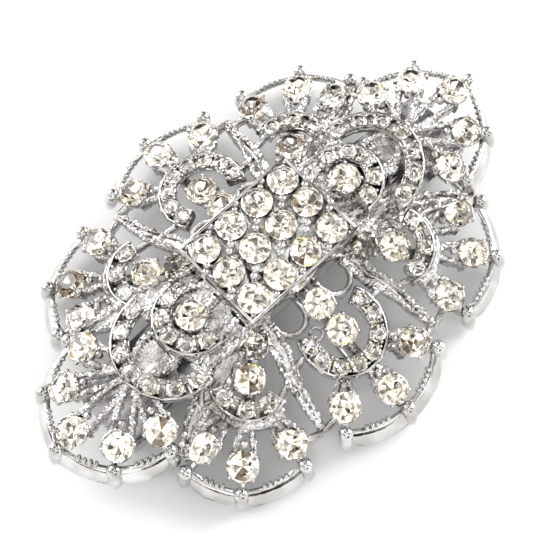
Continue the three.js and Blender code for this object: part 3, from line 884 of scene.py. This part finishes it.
# ---- assembly -------------------------------------------------------------------------------
def dress_nodes():
    """The barrette's own pieces get their metal."""
    for name in ("base_plate", "tension_leaf", "leaf_rivet", "hinge_pin", "swing_arm",
                 "clasp_tab_north", "clasp_tab_south"):
        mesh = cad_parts[name].data
        mesh.materials.clear()
        mesh.materials.append(STEEL)


def large_stones():
    """Crystals in the place of every stone of the frame, and the settings of those outside the tile."""
    settings = {where: bmesh.new() for lobe in LOBES.values() for where in lobe["copies"]}
    names = sorted(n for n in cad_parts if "_stone_" in n)
    for number, name in enumerate(names):
        low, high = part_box(name)
        x, y = (low.x + high.x) / 2 / MM, (low.y + high.y) / 2 / MM
        z = high.z / MM - REST - CROWN_H
        turn = 0.4 * number
        if name.startswith("tile"):
            set_crystal(name.replace("stone", "crystal"), LARGE_R, seat(x, y, z, 0.35, turn), number, name)
            continue
        place = seat(x, y, z)
        spun = place @ Matrix.Rotation(turn, 4, "Z")
        set_crystal(name.replace("stone", "crystal"), LARGE_R, spun, number, name)
        out = math.atan2(y, x)
        set_large(settings[name.split("_")[2]], place, 4, out + math.pi / 4)
    for kind in ("corner", "side"):
        lobe = LOBES[kind]
        for n, (where, (sx, sy)) in enumerate(lobe["copies"].items()):
            x, y = lobe["hub"][0] * sx, lobe["hub"][1] * sy
            place = seat(x, y, vault(x, y, lobe["tier"]))
            set_crystal(f"hub_crystal_{where}", LARGE_R, place @ Matrix.Rotation(n, 4, "Z"), 60 + n * 3)
            set_large(settings[where], place, 4, math.atan2(y, x) + math.pi / 4)
    return [piece(f"collets_{where}", bm, (POLISHED,)) for where, bm in settings.items()]


def small_stones():
    """Crystals in every cup of the scrolls."""
    number = 100
    for lobe in LOBES.values():
        for where, (sx, sy) in lobe["copies"].items():
            rows = [p for scroll in lobe["scrolls"] for p in scroll_places(lobe, scroll)]
            for i, (x, y, z, a) in enumerate(rows):
                number += 1
                place = seat(x * sx, y * sy, z, 0.8, number * 0.7)
                set_crystal(f"small_crystal_{where}_{i + 1}", SMALL_R, place, number)


dress_nodes()
casting = [foundation(), hub_eye()] + corner_struts() + side_struts() + end_struts()
for kind in LOBES:
    casting += lobe_pieces(kind)
casting += large_stones()
small_stones()
tile_case()
tile_grains()
tile_collets()
for obj in casting:
    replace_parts(obj, "filigree_casting")


# ---- studio ---------------------------------------------------------------------------------
def floor():
    """A plain pale ground."""
    bm = bmesh.new()
    bmesh.ops.create_grid(bm, x_segments=2, y_segments=2, size=1.5)
    bmesh.ops.recalc_face_normals(bm, faces=bm.faces)
    mesh = bpy.data.meshes.new("floor")
    bm.to_mesh(mesh)
    bm.free()
    material, nodes, links, shader = blank("studio_paper")
    where = nodes.new("ShaderNodeTexCoord")
    cloud = nodes.new("ShaderNodeTexNoise")
    cloud.inputs["Scale"].default_value = 3
    tone = nodes.new("ShaderNodeMapRange")
    tone.inputs["To Min"].default_value = 0.55
    tone.inputs["To Max"].default_value = 0.65
    shader.inputs["Base Color"].default_value = (0.93, 0.93, 0.93, 1)
    links.new(where.outputs["Object"], cloud.inputs["Vector"])
    links.new(cloud.outputs["Fac"], tone.inputs["Value"])
    links.new(tone.outputs["Result"], shader.inputs["Roughness"])
    mesh.materials.append(material)
    obj = bpy.data.objects.new("floor", mesh)
    bpy.context.scene.collection.objects.link(obj)


def lamp(name, place, size, power):
    """A soft rectangular light aimed at the clip."""
    data = bpy.data.lights.new(name, "AREA")
    data.shape = "RECTANGLE"
    data.size, data.size_y = size
    data.energy = power
    obj = bpy.data.objects.new(name, data)
    obj.location = place
    obj.rotation_euler = (-Vector(place)).to_track_quat("-Z", "Y").to_euler()
    bpy.context.scene.collection.objects.link(obj)


def surroundings():
    """A white tent with greyer gaps, so that polished metal and facets have something to mirror."""
    world = bpy.data.worlds.new("studio")
    bpy.context.scene.world = world
    world.use_nodes = True
    nodes, links = world.node_tree.nodes, world.node_tree.links
    back = nodes["Background"]
    where = nodes.new("ShaderNodeTexCoord")
    cloud = nodes.new("ShaderNodeTexNoise")
    cloud.inputs["Scale"].default_value = 2.3
    cloud.inputs["Detail"].default_value = 1.0
    ramp = nodes.new("ShaderNodeValToRGB")
    stops = [(0.38, (0.03, 0.027, 0.024)), (0.44, (0.15, 0.143, 0.133)), (0.49, (0.5, 0.49, 0.475)),
             (0.55, (1.25, 1.24, 1.22)), (0.62, (1.9, 1.9, 1.92))]
    while len(ramp.color_ramp.elements) < len(stops):
        ramp.color_ramp.elements.new(0.5)
    for element, (position, colour) in zip(ramp.color_ramp.elements, stops):
        element.position = position
        element.color = (*colour, 1)
    links.new(where.outputs["Generated"], cloud.inputs["Vector"])
    links.new(cloud.outputs["Fac"], ramp.inputs["Fac"])
    links.new(ramp.outputs["Color"], back.inputs["Color"])
    back.inputs["Strength"].default_value = 0.98


def camera():
    """A long lens high over the near left corner."""
    data = bpy.data.cameras.new("camera")
    data.lens = 91.1
    data.sensor_width = 36
    data.clip_start = 0.005
    obj = bpy.data.objects.new("camera", data)
    right = Vector((0.7293, -0.6835, -0.0321)).normalized()
    ahead = Vector((0.1978, 0.2555, -0.9464)).normalized()
    up = right.cross(ahead).normalized()
    right = ahead.cross(up)
    rows = Matrix((right, up, -ahead)).transposed().to_4x4()
    obj.matrix_world = Matrix.Translation(Vector((-27.25, -35.64, 134.53)) * MM) @ rows
    bpy.context.scene.collection.objects.link(obj)
    bpy.context.scene.camera = obj


floor()
lamp("key", (-0.1, 0.42, 0.24), (0.4, 0.3), 1.8)
lamp("fill", (0.42, -0.12, 0.19), (0.3, 0.5), 2.6)
surroundings()
camera()
bpy.context.scene.view_settings.view_transform = "Standard"
